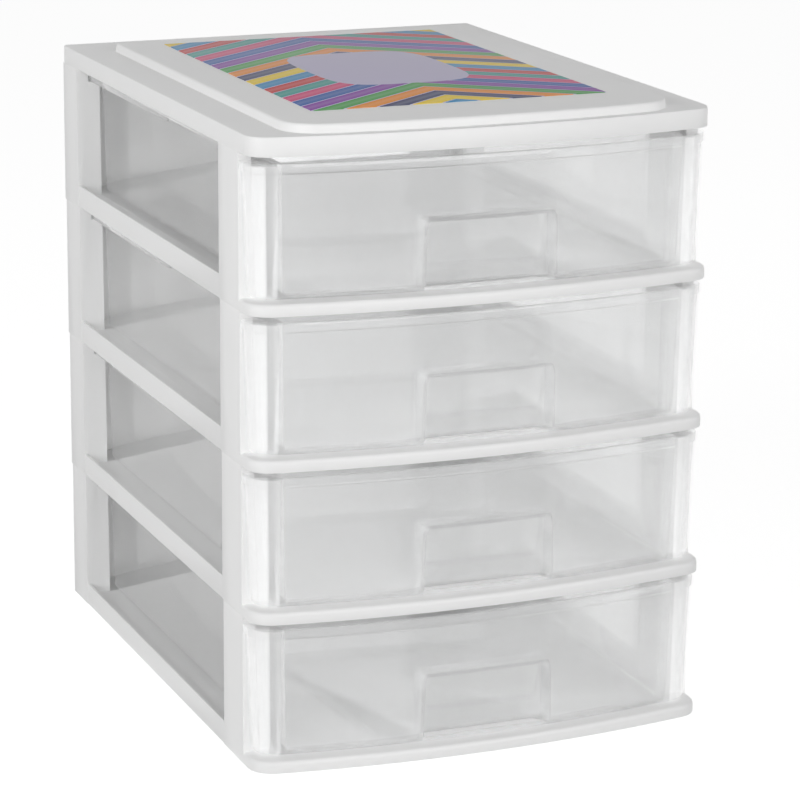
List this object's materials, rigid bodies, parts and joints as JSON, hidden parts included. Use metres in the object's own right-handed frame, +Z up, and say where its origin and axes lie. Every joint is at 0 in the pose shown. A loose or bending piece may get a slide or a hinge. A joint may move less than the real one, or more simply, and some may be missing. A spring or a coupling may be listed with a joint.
{
  "type": "plastic drawer tower",
  "caption": "Tower of stacked white plastic frames with clear bow-fronted drawers that slide out, finger pockets and a flat cover with a raised, labelled panel.",
  "frame": {"origin": "middle of the footprint, at floor level", "axes": "+Z up, drawers slide out towards -Y, +X to the right seen from the front"},
  "size_m": [0.265, 0.355, 0.3503],
  "materials": {
    "white_plastic": "smooth, semi-gloss white polypropylene",
    "clear_plastic": "glossy clear polystyrene",
    "label_paper": "coated printed label"
  },
  "bodies": {
    "tower": {"frame_1": "white_plastic", "frame_2": "white_plastic", "frame_3": "white_plastic", "frame_4": "white_plastic", "top_cover": "white_plastic", "label_sheet": "label_paper"},
    "drawer_1_body": {"drawer_1": "clear_plastic"},
    "drawer_2_body": {"drawer_2": "clear_plastic"},
    "drawer_3_body": {"drawer_3": "clear_plastic"},
    "drawer_4_body": {"drawer_4": "clear_plastic"}
  },
  "joints": [
    {"name": "drawer_1_slide", "type": "slide", "parent": "tower", "child": "drawer_1_body", "axis": [0, -1, 0], "range_m": [0, 0.25]},
    {"name": "drawer_2_slide", "type": "slide", "parent": "tower", "child": "drawer_2_body", "axis": [0, -1, 0], "range_m": [0, 0.25]},
    {"name": "drawer_3_slide", "type": "slide", "parent": "tower", "child": "drawer_3_body", "axis": [0, -1, 0], "range_m": [0, 0.25]},
    {"name": "drawer_4_slide", "type": "slide", "parent": "tower", "child": "drawer_4_body", "axis": [0, -1, 0], "range_m": [0, 0.25]}
  ]
}
